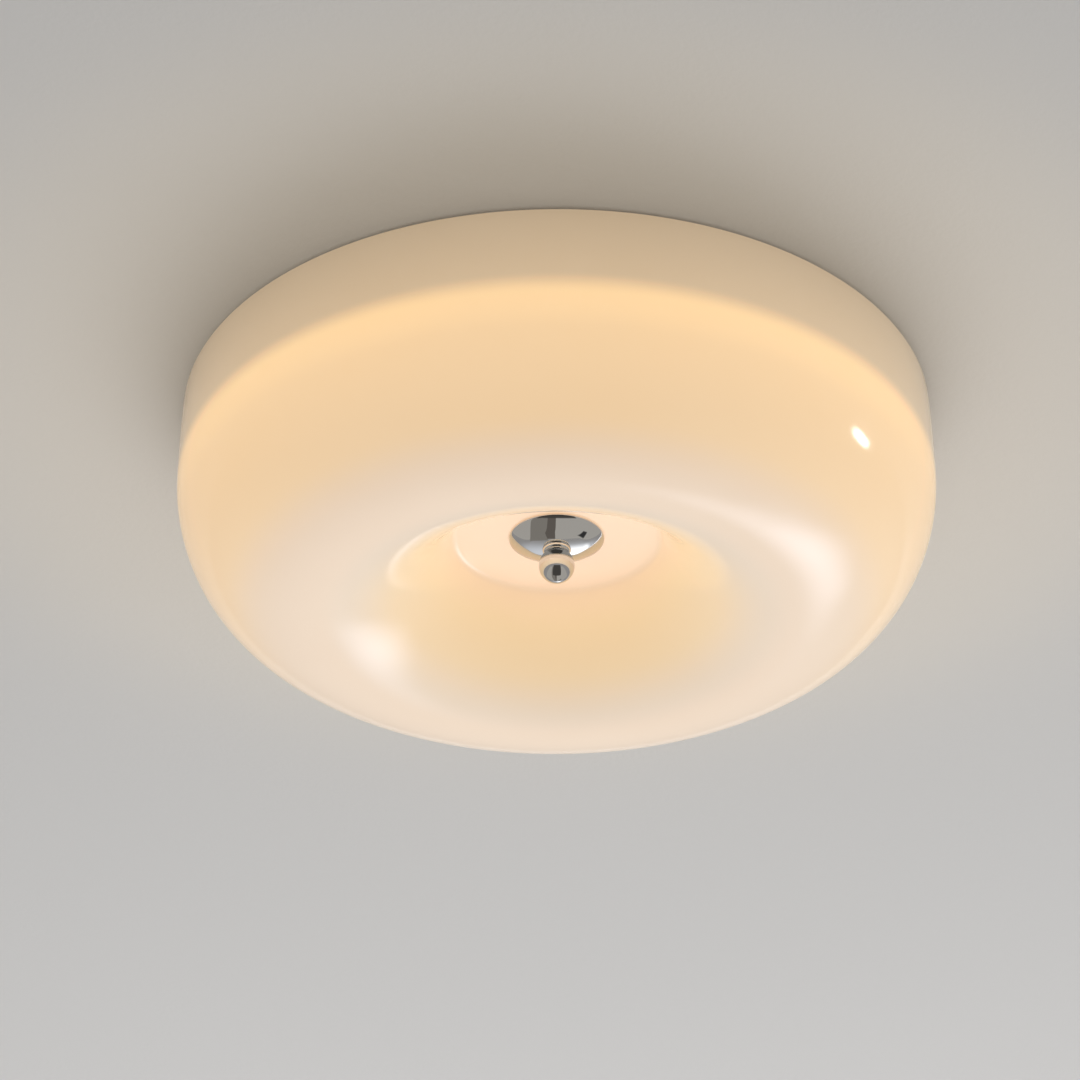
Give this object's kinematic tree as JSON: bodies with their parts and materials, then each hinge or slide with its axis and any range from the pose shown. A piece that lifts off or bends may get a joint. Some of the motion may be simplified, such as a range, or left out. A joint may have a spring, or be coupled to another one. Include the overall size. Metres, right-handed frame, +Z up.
{
  "type": "flush mount ceiling light",
  "caption": "Round ceiling light: an opal glass bowl with a dished middle, held to a shallow steel pan by a central rod, a domed cap and a ball finial.",
  "frame": {"origin": "middle of the ceiling bracket's slot pattern, on the plane of the ceiling", "axes": "+Z up into the ceiling and along the rod; +X along the bracket; the light hangs into -Z"},
  "size_m": [0.3999, 0.4, 0.1223],
  "materials": {
    "opal_glass": "glossy opal, lit warm from inside",
    "polished_chrome": "polished",
    "white_enamel": "satin white enamel",
    "zinc_steel": "bright zinc plate",
    "board_white": "white solder mask",
    "led_phosphor": "yellow phosphor window",
    "white_plastic": "glossy",
    "driver_plastic": "fine textured",
    "natural_nylon": "natural",
    "clear_silicone": "milky silicone",
    "grey_rubber": "matt",
    "brass": "bright",
    "brown_insulation": "satin",
    "blue_insulation": "satin",
    "green_yellow_insulation": "satin, striped",
    "red_insulation": "satin",
    "black_insulation": "satin"
  },
  "bodies": {
    "root": {"ceiling_bracket": "zinc_steel", "bracket_nuts": "zinc_steel", "chassis_pan": "white_enamel", "chassis_screws": "zinc_steel", "chassis_washers": "zinc_steel", "led_board": "board_white", "led_chips": "led_phosphor", "board_screws": "zinc_steel", "board_connector": "white_plastic", "wire_grommet": "grey_rubber", "led_driver": "driver_plastic", "driver_studs": "zinc_steel", "driver_nuts": "zinc_steel", "terminal_block": "natural_nylon", "terminal_screws": "brass", "terminal_studs": "zinc_steel", "terminal_nuts": "zinc_steel", "earth_stud": "zinc_steel", "earth_terminal": "brass", "earth_nut": "zinc_steel", "line_wire": "brown_insulation", "neutral_wire": "blue_insulation", "earth_wire": "green_yellow_insulation", "led_wire_positive": "red_insulation", "led_wire_negative": "black_insulation", "centre_rod": "zinc_steel", "rod_washer_upper": "zinc_steel", "rod_nut_upper": "zinc_steel", "rod_washer_lower": "zinc_steel", "rod_nut_lower": "zinc_steel", "spacer_sleeve": "zinc_steel", "stop_disc": "zinc_steel"},
    "shade": {"glass_shade": "opal_glass", "glass_washer": "clear_silicone", "centring_bush": "natural_nylon", "cap_disc": "polished_chrome", "cap_washer": "clear_silicone"},
    "finial_washer": {"finial_washer": "natural_nylon"},
    "finial": {"finial_knob": "polished_chrome"}
  },
  "joints": [
    {"name": "shade_drop", "type": "slide", "parent": "root", "child": "shade", "axis": [0, 0, -1], "range_m": [0, 0.12]},
    {"name": "finial_travel", "type": "slide", "parent": "shade", "child": "finial_washer", "axis": [0, 0, -1], "range_m": [0, 0.014]},
    {"name": "finial_turn", "type": "hinge", "parent": "finial_washer", "child": "finial", "pos_m": [0, 0, -0.0887], "axis": [0, 0, -1], "range_deg": [0, 5041]}
  ],
  "couplings": [
    {"joint": "finial_turn", "follows": "finial_travel", "rad_per_m": 6283.2}
  ]
}
